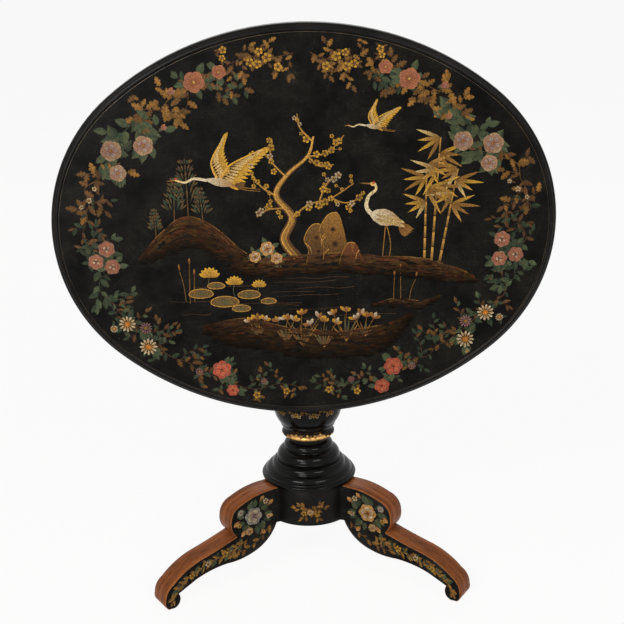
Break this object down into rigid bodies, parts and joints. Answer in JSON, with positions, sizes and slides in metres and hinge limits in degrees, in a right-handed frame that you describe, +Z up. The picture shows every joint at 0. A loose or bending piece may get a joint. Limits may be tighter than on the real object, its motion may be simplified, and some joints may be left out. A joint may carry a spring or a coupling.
{
  "type": "tilt-top pedestal table",
  "caption": "Oval tilt-top table with a moulded edge, turned pillar, scroll legs dovetailed into a drum, and a spring catch that locks the top level.",
  "frame": {"origin": "on the floor, under the pillar's axis", "axes": "+Z up; the upright top faces -Y; +X to the right as seen from the front"},
  "size_m": [0.98, 0.5678, 1.1747],
  "materials": {
    "japanned_wood": "black japanning, polished, with painted flowers",
    "gilt_wood": "worn gilding",
    "leg_wood": "polished brown edges, black painted sides",
    "plain_wood": "waxed",
    "brass": "aged",
    "spring_steel": "drawn wire",
    "iron": "blacked"
  },
  "bodies": {
    "base": {"pillar_block": "japanned_wood", "tenon_wedge": "plain_wood", "strike_plate": "brass", "pillar": "japanned_wood", "gilt_collar": "gilt_wood", "bell_moulding": "japanned_wood", "flange_moulding": "japanned_wood", "drum": "japanned_wood", "leg_left": "leg_wood", "leg_right": "leg_wood", "leg_rear": "leg_wood", "brace_plate": "iron"},
    "top": {"top_board": "japanned_wood", "top_lining_ring": "japanned_wood", "bearer_left": "plain_wood", "bearer_right": "plain_wood", "pivot_pin_left": "brass", "pivot_pin_right": "brass", "catch_plate": "brass", "catch_spring": "spring_steel"},
    "catch_bolt": {"catch_bolt": "brass", "catch_knob": "brass"}
  },
  "joints": [
    {"name": "top_tilt", "type": "hinge", "parent": "base", "child": "top", "pos_m": [0, -0.081, 0.7017], "axis": [-1, 0, 0], "range_deg": [0, 90]},
    {"name": "catch_slide", "type": "slide", "parent": "top", "child": "catch_bolt", "axis": [0, 0, 1], "range_m": [0, 0.008], "stiffness_N_per_m": 300, "springref_m": -0.004, "deforming": ["catch_spring"]}
  ]
}
